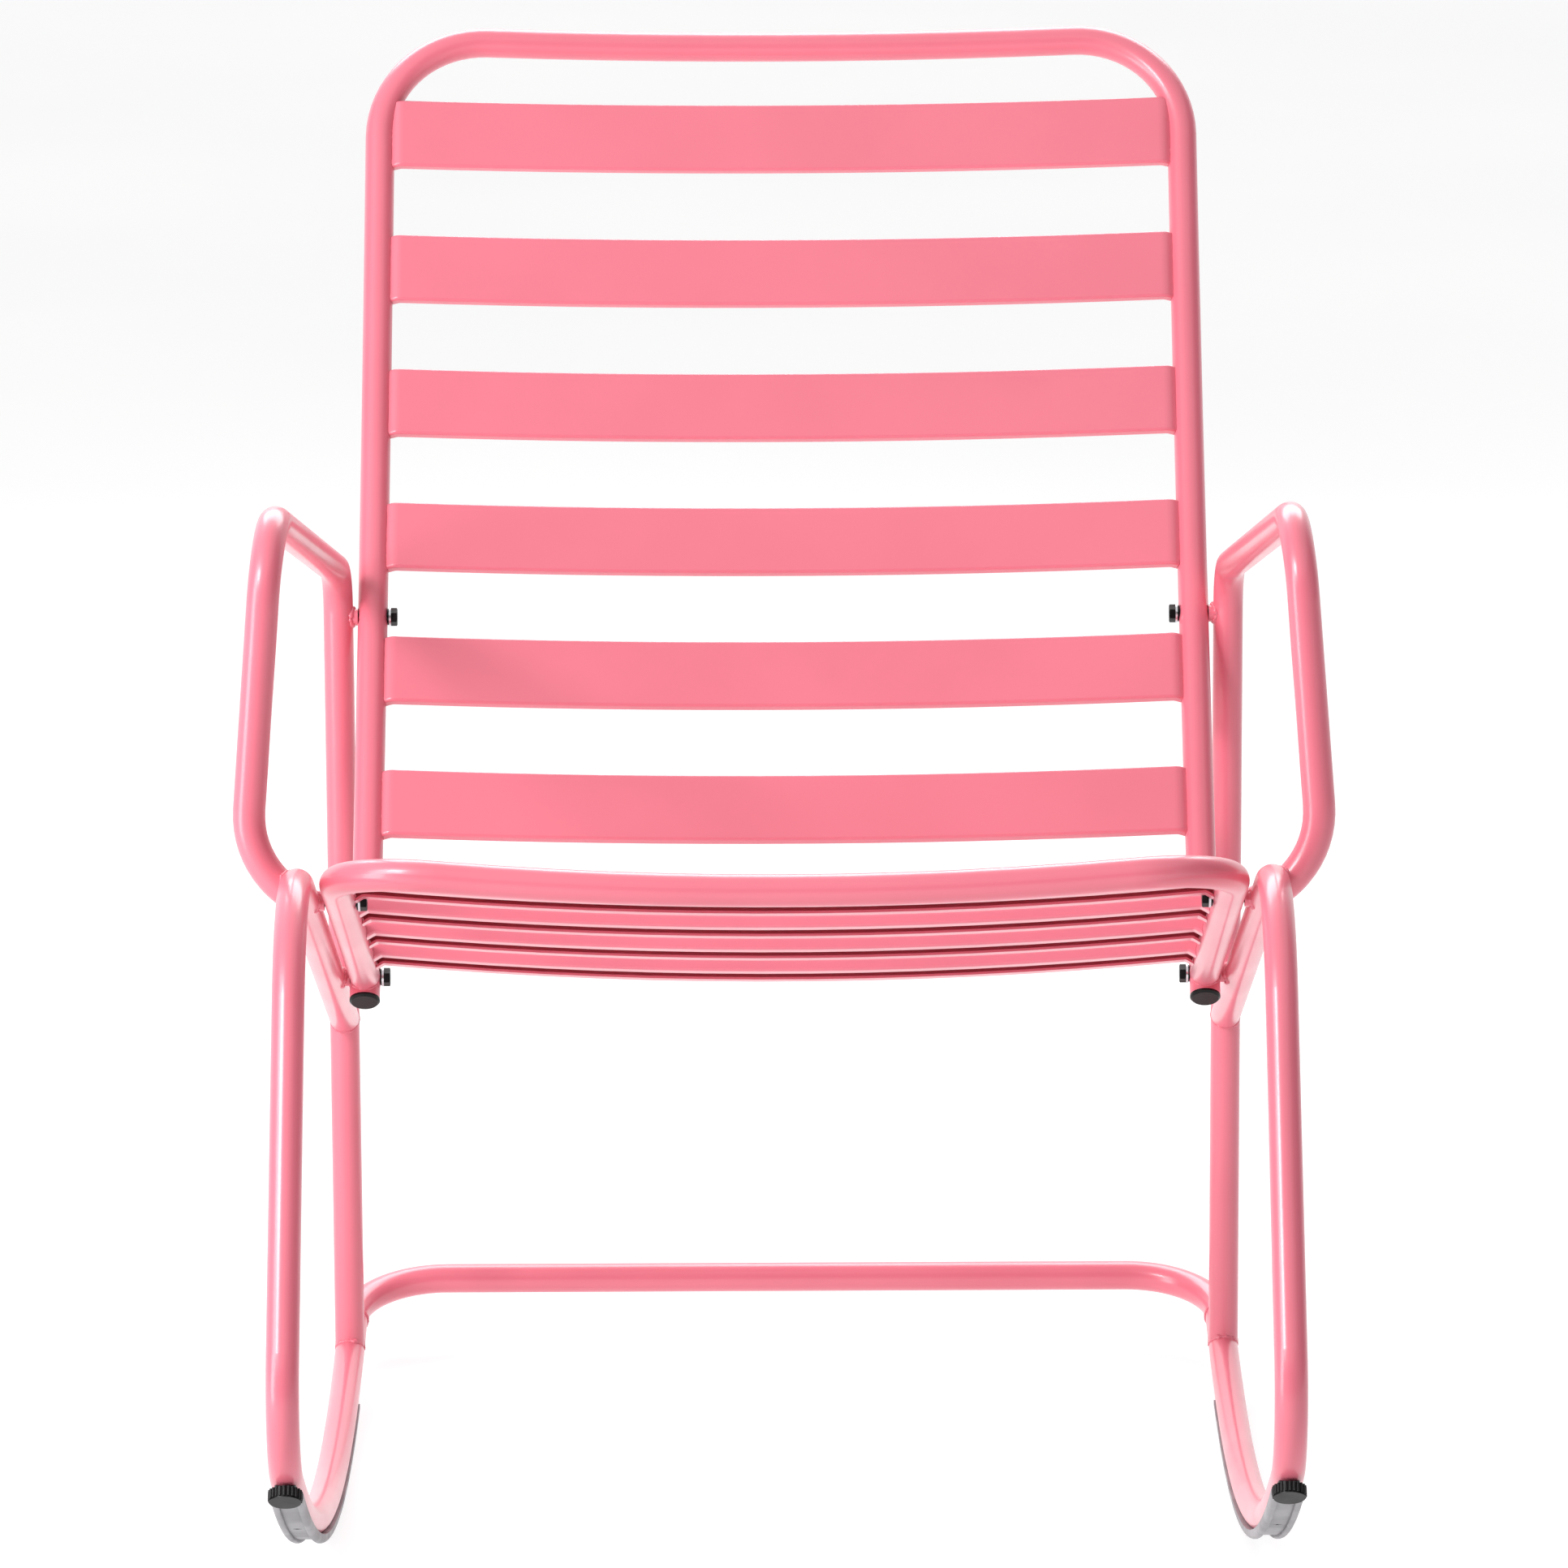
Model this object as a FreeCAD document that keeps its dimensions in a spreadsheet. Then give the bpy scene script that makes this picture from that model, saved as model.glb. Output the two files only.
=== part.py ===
import FreeCAD, Part
import math
import os

import Sketcher
from FreeCAD import Placement, Rotation, Vector

# Metal rocking chair of bent steel tube. Millimetres and degrees.
# Origin: on the floor, midway between the points where the two rockers touch it at rest.
# +X is the right of someone facing the chair, -Y is the chair's front, +Z is up.
# The chair is drawn as it stands with someone on its seat. Empty, it rolls back until its
# centre of mass is over the floor contact, and that is how its pieces are handed in.

SIZES = (
    # tube stock, and the clearance left for the weld where a tube end is coped to another tube
    ("tube_diameter", 19.0),
    ("tube_wall", 1.2),
    ("weld_gap", 0.15),
    # seat frame: a U of tube, measured between tube centre lines
    ("seat_width", 524.0),
    ("seat_front_reach", 300.0),
    ("seat_front_height", 429.2),
    ("seat_slope", 14.9),
    ("seat_depth", 417.1),
    ("seat_corner_radius", 60.0),
    ("seat_bow_angle", 5.0),
    # back frame: an upside-down U, its legs bent to a long arc
    ("back_recline", 35.38),
    ("back_radius", 3050.0),
    ("back_height", 668.8),
    ("back_tail", 15.8),
    ("back_corner_radius", 70.0),
    ("back_bow_angle", 5.2),
    # folded slats
    ("sheet_thickness", 1.5),
    ("slat_lip", 7.5),
    ("slat_return", 11.0),
    ("slat_fold_radius", 2.0),
    ("slat_rise", 7.5),
    ("slat_end_reach", 6.0),
    ("slat_end_bend", 30.0),
    ("slat_end_radius", 9.5),
    ("seat_slat_width", 45.5),
    ("seat_slat_first", 89.5),
    ("seat_slat_pitch", 86.4),
    ("seat_slat_bow_radius", 2700.0),
    ("back_slat_width", 46.5),
    ("back_slat_first", 121.8),
    ("back_slat_pitch", 95.5),
    ("back_slat_bow_radius", 2900.0),
    # base: rocker, front leg and seat rail in one tube on each side
    ("joint_gap", 3.0),
    ("rocker_radius", 1120.0),
    ("glide_thickness", 4.0),
    ("toe_reach", 409.0),
    ("toe_radius", 55.0),
    ("front_leg_lean", 24.8),
    ("knee_radius", 95.0),
    ("heel_reach", 347.0),
    ("heel_radius", 60.0),
    # roll of the empty chair on its rockers, back from the attitude that it is drawn in
    ("rest_lean", 7.24),
    # arm tube: rear leg, armrest and front post
    ("rear_foot_reach", 305.0),
    ("arm_bolt_reach", 257.3),
    ("arm_rise", 30.0),
    ("arm_rear_radius", 34.0),
    ("arm_post_setback", 58.0),
    ("arm_front_height", 629.7),
    ("arm_front_radius", 45.0),
    ("arm_flare_top", 15.0),
    ("arm_flare_low", 30.0),
    ("arm_elbow_rise", 15.0),
    ("arm_curl_angle", 52.0),
    ("arm_curl_radius", 55.0),
    # bolts, the washers under their heads and the threaded bosses that take them
    ("bolt_diameter", 6.0),
    ("bolt_clearance", 0.6),
    ("thread_clearance", 0.2),
    ("bolt_head_flats", 10.0),
    ("bolt_head_height", 4.0),
    ("front_bolt_setback", 119.0),
    ("spacer_diameter", 10.5),
    ("spacer_thickness", 0.9),
    ("washer_diameter", 12.0),
    ("washer_thickness", 1.3),
    ("boss_diameter", 11.0),
    ("boss_reach", 9.0),
    # plugs in the lower ends of the back frame
    ("plug_flange", 2.5),
    ("plug_barrel", 8.0),
    ("plug_fit", 0.15),
    # glide strips, their screws and the round bumpers at their front ends
    ("strip_width", 19.0),
    ("strip_side", 5.5),
    ("strip_heel_reach", 236.0),
    ("strip_edge_radius", 2.7),
    ("groove_width", 10.4),
    ("groove_depth", 2.4),
    ("groove_edge_radius", 1.2),
    ("screw_end_margin", 112.0),
    ("screw_head_diameter", 5.2),
    ("screw_diameter", 3.2),
    ("screw_length", 8.0),
    ("screw_drive_diameter", 2.4),
    ("screw_drive_depth", 0.7),
    ("bumper_diameter", 19.8),
    ("bumper_height", 6.6),
    ("bumper_rib", 0.85),
    ("bumper_neck_diameter", 12.4),
    ("bumper_neck_height", 1.4),
    ("bumper_stem_diameter", 6.0),
    ("bumper_stem_length", 6.0),
    ("bumper_toe_reach", 10.0),
    ("strip_end_gap", 0.4),
)

SEAT_SLATS = 4
BACK_SLATS = 6
SCREWS_PER_STRIP = 4
BUMPER_RIBS = 24

AXIS_X = Vector(1, 0, 0)
AXIS_Z = Vector(0, 0, 1)

doc = FreeCAD.newDocument("rocking_chair")
sheet = doc.addObject("Spreadsheet::Sheet", "Sizes")


class Measure:
    """A driving size, or a sum made of them: its value now and the expression that gives it."""

    def __init__(self, value, text):
        self.value = value
        self.text = text

    def __add__(self, other):
        other = measure(other)
        return Measure(self.value + other.value, f"({self.text} + {other.text})")

    def __sub__(self, other):
        other = measure(other)
        return Measure(self.value - other.value, f"({self.text} - {other.text})")

    def __mul__(self, factor):
        return Measure(self.value * factor, f"({self.text} * {factor})")

    def __truediv__(self, divisor):
        return Measure(self.value / divisor, f"({self.text} / {divisor})")


def measure(number):
    """A plain number as a Measure."""
    if isinstance(number, Measure):
        return number
    return Measure(float(number), str(number))


def fill_sheet():
    """Write the driving sizes to the sheet and return them as Measures by name."""
    sizes = {}
    for row, (name, value) in enumerate(SIZES, start=1):
        sheet.set(f"A{row}", name)
        sheet.set(f"B{row}", str(value))
        sheet.setAlias(f"B{row}", name)
    doc.recompute()
    for name, _ in SIZES:
        sizes[name] = Measure(float(sheet.get(name)), f"Sizes.{name}")
    return sizes


size = fill_sheet()


def mm(name):
    """Present value of one driving length."""
    return size[name].value


def turn(name):
    """Present value of one driving angle, in radians."""
    return math.radians(size[name].value)


tube_radius = size["tube_diameter"] / 2
bore_radius = tube_radius - size["tube_wall"]
cope_radius = tube_radius + size["weld_gap"]
seat_half = size["seat_width"] / 2
base_half = seat_half + size["tube_diameter"] + size["joint_gap"]


# Layout of the chair's side view: points and directions that the pieces share

SLOPE = turn("seat_slope")
SEAT_BACKWARD = Vector(0, math.cos(SLOPE), -math.sin(SLOPE))
SEAT_UPWARD = Vector(0, math.sin(SLOPE), math.cos(SLOPE))
SEAT_FRONT = Vector(0, -mm("seat_front_reach"), mm("seat_front_height"))
ROCKER_CENTRE = Vector(0, 0, mm("rocker_radius"))

rocker_line_radius = size["rocker_radius"] - size["glide_thickness"] - tube_radius


def on_seat(distance, x=0.0, height=0.0):
    """Point a distance behind the seat's front bar, along the line of its side rails."""
    return SEAT_FRONT + SEAT_BACKWARD * distance + SEAT_UPWARD * height + Vector(x, 0, 0)


BACK_ROOT = on_seat(mm("seat_depth"))


def back_lean(distance):
    """Lean of the back frame's leg from upright, a distance above its crossing with the seat."""
    return turn("back_recline") - distance / mm("back_radius")


def back_up(distance):
    lean = back_lean(distance)
    return Vector(0, math.sin(lean), math.cos(lean))


def back_forward(distance):
    lean = back_lean(distance)
    return Vector(0, -math.cos(lean), math.sin(lean))


BACK_CENTRE = BACK_ROOT + back_forward(0) * mm("back_radius")


def on_back(distance, x=0.0):
    """Point on the centre line of a back leg, a distance above its crossing with the seat."""
    return BACK_CENTRE - back_forward(distance) * mm("back_radius") + Vector(x, 0, 0)


def rocker_down(angle):
    """Direction from the rocker's centre to its tread, at an angle behind the floor contact."""
    return Vector(0, math.sin(angle), -math.cos(angle))


def rocker_backward(angle):
    return Vector(0, math.cos(angle), math.sin(angle))


def rocker_angle(reach):
    """Angle at which the rocker's centre line is a reach behind the floor contact."""
    return math.asin(reach / rocker_line_radius.value)


def on_rocker(angle, x=0.0):
    return ROCKER_CENTRE + rocker_down(angle) * rocker_line_radius.value + Vector(x, 0, 0)


def crossing(point_a, along_a, point_b, along_b):
    """Where two lines of the side view cross."""
    across = along_a.y * along_b.z - along_a.z * along_b.y
    gap = point_b - point_a
    return point_a + along_a * ((gap.y * along_b.z - gap.z * along_b.y) / across)


TOE_ANGLE = rocker_angle(-mm("toe_reach"))
HEEL_ANGLE = rocker_angle(mm("heel_reach"))
LEG_UPWARD = Vector(0, math.sin(turn("front_leg_lean")), math.cos(turn("front_leg_lean")))
TOE_TANGENT = mm("toe_radius") * math.tan(rocker_backward(TOE_ANGLE).negative().getAngle(LEG_UPWARD) / 2)
TOE_CORNER = on_rocker(TOE_ANGLE) - rocker_backward(TOE_ANGLE) * TOE_TANGENT
KNEE_CORNER = crossing(TOE_CORNER, LEG_UPWARD, SEAT_FRONT, SEAT_BACKWARD)
REAR_FOOT = on_rocker(rocker_angle(mm("rear_foot_reach")))
ARM_JOINT = on_back(mm("arm_bolt_reach"))
REAR_LEG_UPWARD = (ARM_JOINT - REAR_FOOT).normalize()
RAIL_END = crossing(REAR_FOOT, REAR_LEG_UPWARD, SEAT_FRONT, SEAT_BACKWARD)
FRONT_BOLT = on_seat(mm("front_bolt_setback"))


# Helpers for document objects

def bind(item, **lengths):
    """Bind an object's properties to sheet expressions."""
    for prop, length in lengths.items():
        item.setExpression(prop, measure(length).text)
    return item


def standing(point, upward, sideways=None):
    """Placement with its own Z along a direction, and its own X along another if given."""
    if sideways is None:
        return Placement(point, Rotation(AXIS_Z, upward))
    return Placement(point, Rotation(sideways, upward.cross(sideways), upward, "ZXY"))


def cylinder(name, radius, height, place):
    item = doc.addObject("Part::Cylinder", name)
    item.Placement = place
    return bind(item, Radius=radius, Height=height)


def cone(name, radius_low, radius_high, height, place):
    item = doc.addObject("Part::Cone", name)
    item.Placement = place
    return bind(item, Radius1=radius_low, Radius2=radius_high, Height=height)


def cut(name, base, *tools):
    """The base with each tool taken out of it in turn."""
    for number, tool in enumerate(tools, start=1):
        last = number == len(tools)
        item = doc.addObject("Part::Cut", name if last else f"{name}_stage_{number}")
        item.Base = base
        item.Tool = tool
        base = item
    return base


def fuse(name, *shapes):
    item = doc.addObject("Part::MultiFuse", name)
    item.Shapes = list(shapes)
    item.Refine = True
    return item


def mirrored(name, source):
    """The same piece for the chair's other side."""
    item = doc.addObject("Part::Mirroring", name)
    item.Source = source
    item.Base = Vector(0, 0, 0)
    item.Normal = AXIS_X
    return item


def group(name, *members):
    """Like pieces that share one node, each still a solid of its own."""
    item = doc.addObject("Part::Compound", name)
    item.Links = list(members)
    return item


nodes = []


def node(item, label):
    """Hand a finished piece in under its own name."""
    item.Label = label
    nodes.append(item)
    return item


# Tubes: a ring carried along straight runs and tangent bends

def arc(start, middle, end):
    return Part.Arc(start, middle, end).toShape()


def bend(start, along, towards, radius):
    """Quarter bend that leaves a point along one direction and ends along a square one."""
    centre = start + towards * radius
    middle = centre + (along - towards).normalize() * radius
    return arc(start, middle, centre + along * radius)


def rounded_run(points, radii):
    """Straight runs through points, with a tangent arc of its own radius at each inner point."""
    edges = []
    start = points[0]
    for before, corner, after, radius in zip(points, points[1:], points[2:], radii):
        into = (corner - before).normalize()
        out = (after - corner).normalize()
        half_turn = into.getAngle(out) / 2
        reach = radius * math.tan(half_turn)
        first = corner - into * reach
        last = corner + out * reach
        inward = (out - into).normalize()
        middle = corner + inward * (radius / math.cos(half_turn) - radius)
        edges.append(Part.LineSegment(start, first).toShape())
        edges.append(arc(first, middle, last))
        start = last
    if (points[-1] - start).Length > mm("weld_gap"):
        edges.append(Part.LineSegment(start, points[-1]).toShape())
    return edges


def path(name, edges):
    item = doc.addObject("Part::Feature", name)
    item.Shape = Part.Wire(edges)
    return item


def swept(name, line, section):
    item = doc.addObject("Part::Sweep", name)
    item.Sections = [section]
    item.Spine = (line, [f"Edge{number + 1}" for number in range(len(line.Shape.Edges))])
    item.Solid = True
    item.Frenet = False
    return item


def rod(name, line, radius):
    """Solid round bar along a path."""
    start = line.Shape.Edges[0]
    section = doc.addObject("Part::Circle", f"{name}_section")
    section.Placement = standing(start.valueAt(start.FirstParameter), start.tangentAt(start.FirstParameter))
    bind(section, Radius=radius)
    return swept(name, line, section)


def tube(name, line):
    """Hollow tube along a path."""
    return cut(f"{name}_tube", rod(f"{name}_outside", line, tube_radius), rod(f"{name}_bore", line, bore_radius))


def torus(name, big_radius, centre):
    """Cutter that follows a tube bent about a line across the chair."""
    item = doc.addObject("Part::Torus", name)
    item.Placement = standing(centre, AXIS_X)
    return bind(item, Radius1=big_radius, Radius2=cope_radius)


def cope_rod(name, start, end):
    """Cutter that follows a straight tube from one point to another."""
    item = doc.addObject("Part::Cylinder", name)
    item.Placement = standing(start, end - start)
    item.Height = (end - start).Length
    return bind(item, Radius=cope_radius)


def side_line(x):
    """Seat rail, knee, front leg, toe and rocker of one side, from the rear leg round to the heel."""
    aside = Vector(x, 0, 0)
    rail_start = RAIL_END - SEAT_BACKWARD * mm("tube_wall")
    corners = [rail_start, KNEE_CORNER, TOE_CORNER, on_rocker(TOE_ANGLE)]
    edges = rounded_run([corner + aside for corner in corners], [mm("knee_radius"), mm("toe_radius")])
    edges.append(arc(on_rocker(TOE_ANGLE, x), on_rocker(0, x), on_rocker(HEEL_ANGLE, x)))
    return edges


def cross_line(half):
    """Rear bar of the base, with the bends that bring it forward to the two rockers."""
    along = rocker_backward(HEEL_ANGLE)
    radius = mm("heel_radius")
    right = on_rocker(HEEL_ANGLE, half)
    left = on_rocker(HEEL_ANGLE, -half)
    right_bend = bend(right, along, AXIS_X.negative(), radius)
    bar = Part.LineSegment(right + along * radius - AXIS_X * radius, left + along * radius + AXIS_X * radius)
    left_bend = arc(left + along * radius + AXIS_X * radius,
                    left + AXIS_X * radius + (along - AXIS_X).normalize() * radius, left)
    return [right_bend, bar.toShape(), left_bend]


def arm_line(half):
    """Rear leg, armrest and front post of one side, from the rocker round to the seat rail."""
    post = on_seat(mm("arm_post_setback"))
    low_x = half + mm("arm_flare_low")
    curl = turn("arm_curl_angle")
    foot = REAR_FOOT + Vector(half, 0, 0)
    shoulder = ARM_JOINT + REAR_LEG_UPWARD * mm("arm_rise") + Vector(half, 0, 0)
    hand = Vector(half + mm("arm_flare_top"), post.y, mm("arm_front_height"))
    elbow = Vector(low_x, post.y, post.z + mm("arm_elbow_rise"))
    inward = Vector(-math.sin(curl), 0, -math.cos(curl))
    curl_reach = mm("arm_curl_radius") * math.tan((elbow - hand).getAngle(inward) / 2)
    end = elbow + inward * (curl_reach + mm("tube_wall"))
    radii = [mm("arm_rear_radius"), mm("arm_front_radius"), mm("arm_curl_radius")]
    return rounded_run([foot, shoulder, hand, elbow, end], radii)


def bowed_u(right_leg, left_leg, along, bow_towards, half, radius, bow):
    """U of tube: two legs, two round corners and a bar between them that bows to one side."""
    start = right_leg.valueAt(right_leg.LastParameter)
    inward = AXIS_X.negative() * math.cos(bow) + bow_towards * math.sin(bow)
    corner = bend(start, along, inward, radius)
    bar_start = corner.valueAt(corner.LastParameter)
    bar_middle = Vector(0, bar_start.y, bar_start.z) + bow_towards * (bar_start.x * math.tan(bow / 2))
    bar_end = Vector(-bar_start.x, bar_start.y, bar_start.z)
    bar = arc(bar_start, bar_middle, bar_end)
    corner_middle = corner.valueAt((corner.FirstParameter + corner.LastParameter) / 2)
    other_middle = Vector(-corner_middle.x, corner_middle.y, corner_middle.z)
    other_corner = arc(bar_end, other_middle, Vector(-start.x, start.y, start.z))
    return [right_leg, corner, bar, other_corner, left_leg]


def seat_line(half):
    """Seat frame, from the right back leg round its bowed front bar to the left one."""
    rear = mm("seat_depth") - mm("tube_wall")
    front = mm("seat_corner_radius")
    right = Part.LineSegment(on_seat(rear, half), on_seat(front, half)).toShape()
    left = Part.LineSegment(on_seat(front, -half), on_seat(rear, -half)).toShape()
    return bowed_u(right, left, SEAT_BACKWARD.negative(), SEAT_UPWARD.negative(), half, front, turn("seat_bow_angle"))


def back_line(half):
    """Back frame, from the right leg's lower end over its bowed top bar to the left one."""
    low = -mm("back_tail")
    high = mm("back_height") - mm("back_corner_radius")
    middle = (low + high) / 2
    right = arc(on_back(low, half), on_back(middle, half), on_back(high, half))
    left = arc(on_back(high, -half), on_back(middle, -half), on_back(low, -half))
    backward = back_forward(high).negative()
    return bowed_u(right, left, back_up(high), backward, half, mm("back_corner_radius"), turn("back_bow_angle"))


# Bolts run across the chair: through a tube of the bolted seat, into a boss on a tube of the base

bolt_stack = size["spacer_thickness"] + size["washer_thickness"]
hole_radius = (size["bolt_diameter"] + size["bolt_clearance"]) / 2
boss_radius = size["boss_diameter"] / 2
boss_length = size["joint_gap"] + size["boss_reach"]


def bolt_hole(name, point):
    """Drill right across the chair."""
    start = point - AXIS_X * base_half.value
    return cylinder(name, hole_radius, base_half * 2, standing(start, AXIS_X))


def boss_hole(name, point):
    """Drill the inner wall of a base tube, for a boss."""
    start = point + AXIS_X * (seat_half.value + tube_radius.value)
    return cylinder(name, boss_radius + size["weld_gap"], boss_length, standing(start, AXIS_X))


def make_tubes():
    """All bent tubes of the chair, coped and drilled where they meet."""
    half = base_half.value
    side = path("side_path", side_line(half))
    arm = path("arm_path", arm_line(half))
    seat = path("seat_path", seat_line(seat_half.value))
    back = path("back_path", back_line(seat_half.value))
    cross = path("cross_path", cross_line(half))

    aside = Vector(half, 0, 0)
    rear_leg_cope = cope_rod("rear_leg_cope", REAR_FOOT + aside, ARM_JOINT + aside)
    rocker_cope = torus("rocker_cope", rocker_line_radius, ROCKER_CENTRE + aside)
    rail_cope = cope_rod("rail_cope", KNEE_CORNER + aside, RAIL_END + aside)
    seat_cope = rod("seat_cope", seat, cope_radius)
    back_cope = rod("back_cope", back, cope_radius)

    side_cutters = [rear_leg_cope, boss_hole("front_boss_hole", FRONT_BOLT), boss_hole("rear_boss_hole", BACK_ROOT)]
    side_cutters += glide_holes()
    right_side = node(cut("side_tube_right", tube("side", side), *side_cutters), "side_tube_right")
    node(mirrored("side_tube_left", right_side), "side_tube_left")
    node(tube("cross", cross), "rear_cross_tube")

    arm_cutters = [rocker_cope, rail_cope, boss_hole("arm_boss_hole", ARM_JOINT)]
    right_arm = node(cut("arm_tube_right", tube("arm", arm), *arm_cutters), "arm_tube_right")
    node(mirrored("arm_tube_left", right_arm), "arm_tube_left")

    seat_cutters = [back_cope, bolt_hole("front_bolt_hole", FRONT_BOLT), bolt_hole("root_bolt_hole", BACK_ROOT)]
    node(cut("seat_frame_tube", tube("seat", seat), *seat_cutters), "seat_frame_tube")
    back_cutters = [bolt_hole("rear_bolt_hole", BACK_ROOT), bolt_hole("arm_bolt_hole", ARM_JOINT)]
    node(cut("back_frame_tube", tube("back", back), *back_cutters), "back_frame_tube")
    return seat_cope, back_cope


# Slats: a folded channel carried along a bowed line whose ends turn back to the tube

def outline(name, place, corners):
    """Closed sketch of level and upright lines, with a tangent arc at each corner that has a radius."""
    sketch = doc.addObject("Sketcher::SketchObject", name)
    sketch.Placement = place
    spots = [Vector(across.value, up.value, 0) for across, up, _ in corners]
    radii = [0.0 if radius is None else radius.value for _, _, radius in corners]
    count = len(corners)
    steps = [(spots[(i + 1) % count] - spots[i]).normalize() for i in range(count)]
    for i in range(count):
        begin = spots[i] + steps[i] * radii[i]
        end = spots[(i + 1) % count] - steps[i] * radii[(i + 1) % count]
        sketch.addGeometry(Part.LineSegment(begin, end))
        level = abs(steps[i].x) > abs(steps[i].y)
        sketch.addConstraint(Sketcher.Constraint("Horizontal" if level else "Vertical", i))
        hold_line(sketch, i, level, corners[i][1] if level else corners[i][0])
    for i, (_, _, radius) in enumerate(corners):
        before = (i - 1) % count
        if radius is None:
            sketch.addConstraint(Sketcher.Constraint("Coincident", before, 2, i, 1))
        else:
            round_corner(sketch, before, i, steps[before], steps[i], spots[i], radius)
    return sketch


def hold_line(sketch, line, level, offset):
    """Keep a sketch line at its distance from the sketch's own axis."""
    if offset.value == 0.0:
        sketch.addConstraint(Sketcher.Constraint("PointOnObject", line, 1, -1 if level else -2))
        return
    kind = "DistanceY" if level else "DistanceX"
    if offset.value > 0.0:
        number = sketch.addConstraint(Sketcher.Constraint(kind, -1, 1, line, 1, offset.value))
        sketch.setExpression(f"Constraints[{number}]", offset.text)
    else:
        number = sketch.addConstraint(Sketcher.Constraint(kind, line, 1, -1, 1, -offset.value))
        sketch.setExpression(f"Constraints[{number}]", f"-1 * {offset.text}")


def round_corner(sketch, before, after, into, out, corner, radius):
    """Tangent arc of a bound radius between two lines of a sketch."""
    centre = corner - into * radius.value + out * radius.value
    left_turn = into.x * out.y - into.y * out.x > 0
    first = corner - into * radius.value - centre
    last = corner + out * radius.value - centre
    ends = (first, last) if left_turn else (last, first)
    angles = [math.atan2(end.y, end.x) for end in ends]
    circle = Part.Circle(centre, AXIS_Z, radius.value)
    number = sketch.addGeometry(Part.ArcOfCircle(circle, angles[0], angles[1]))
    start, finish = (1, 2) if left_turn else (2, 1)
    sketch.addConstraint(Sketcher.Constraint("Tangent", before, 2, number, start))
    sketch.addConstraint(Sketcher.Constraint("Tangent", number, finish, after, 1))
    held = sketch.addConstraint(Sketcher.Constraint("Radius", number, radius.value))
    sketch.setExpression(f"Constraints[{held}]", radius.text)


def slat_line(bow_radius):
    """Line of a slat's face, seen along its edges: bowed away from the sitter, ends turned down."""
    end_x = seat_half.value - tube_radius.value - mm("slat_end_reach")
    rise = mm("slat_rise")
    radius = mm("slat_end_radius")
    bend_angle = turn("slat_end_bend")
    tilt = math.asin(end_x / bow_radius)
    sag = bow_radius * (1 - math.cos(tilt))
    bend_x = end_x + radius * math.sin(tilt)
    bend_z = rise - radius * math.cos(tilt)
    halfway = (bend_angle - tilt) / 2

    def on_bend(angle, side):
        return Vector(side * (bend_x + radius * math.sin(angle)), 0, bend_z + radius * math.cos(angle))

    def edges_of(side):
        bend_start = Vector(side * end_x, 0, rise)
        bend_end = on_bend(bend_angle, side)
        away = Vector(side * math.cos(bend_angle), 0, -math.sin(bend_angle))
        return bend_start, on_bend(halfway, side), bend_end, bend_end + away * mm("slat_end_reach")

    right_start, right_middle, right_end, right_tip = edges_of(1)
    left_start, left_middle, left_end, left_tip = edges_of(-1)
    return [
        Part.LineSegment(right_tip, right_end).toShape(),
        arc(right_end, right_middle, right_start),
        arc(right_start, Vector(0, 0, rise - sag), left_start),
        arc(left_start, left_middle, left_end),
        Part.LineSegment(left_end, left_tip).toShape(),
    ]


def channel_corners(width):
    """Corners of a folded channel: face at zero height, a lip at each edge that hangs down and turns in."""
    edge = width / 2
    inside = edge - size["sheet_thickness"]
    turned_in = edge - size["slat_return"]
    zero = measure(0)
    under = zero - size["sheet_thickness"]
    low = zero - size["slat_lip"]
    above_low = low + size["sheet_thickness"]
    fold = size["slat_fold_radius"]
    inner_fold = fold - size["sheet_thickness"]
    return [
        (edge, zero, fold),
        (zero - edge, zero, fold),
        (zero - edge, low, fold),
        (zero - turned_in, low, None),
        (zero - turned_in, above_low, None),
        (zero - inside, above_low, inner_fold),
        (zero - inside, under, inner_fold),
        (inside, under, inner_fold),
        (inside, above_low, inner_fold),
        (turned_in, above_low, None),
        (turned_in, low, None),
        (edge, low, fold),
    ]


def make_slats(kind, width, bow_radius, cope, places):
    """One slat of a kind at each placement, its ends cut to the frame tube."""
    line = path(f"{kind}_slat_path", slat_line(bow_radius))
    start = line.Shape.Edges[0]
    outward = start.tangentAt(start.FirstParameter).negative()
    at_tip = standing(start.valueAt(start.FirstParameter), outward, Vector(0, 1, 0))
    section = outline(f"{kind}_slat_section", at_tip, channel_corners(width))
    for number, place in enumerate(places, start=1):
        blank = swept(f"{kind}_slat_{number}_blank", line, section)
        blank.Placement = place
        node(cut(f"{kind}_slat_{number}", blank, cope), f"{kind}_slat_{number}")


def make_all_slats(seat_cope, back_cope):
    seat_places = []
    for number in range(SEAT_SLATS):
        distance = mm("seat_slat_first") + number * mm("seat_slat_pitch")
        seat_places.append(standing(on_seat(distance), SEAT_UPWARD, AXIS_X))
    make_slats("seat", size["seat_slat_width"], mm("seat_slat_bow_radius"), seat_cope, seat_places)
    back_places = []
    for number in range(BACK_SLATS):
        distance = mm("back_slat_first") + number * mm("back_slat_pitch")
        back_places.append(standing(on_back(distance), back_forward(distance), AXIS_X))
    make_slats("back", size["back_slat_width"], mm("back_slat_bow_radius"), back_cope, back_places)


# Bolts, washers, bosses and plugs

def ring(name, radius, hole, height, place):
    """Flat washer or plain bush."""
    outside = cylinder(f"{name}_blank", radius, height, place)
    return cut(name, outside, cylinder(f"{name}_hole", hole, height, place))


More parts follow.
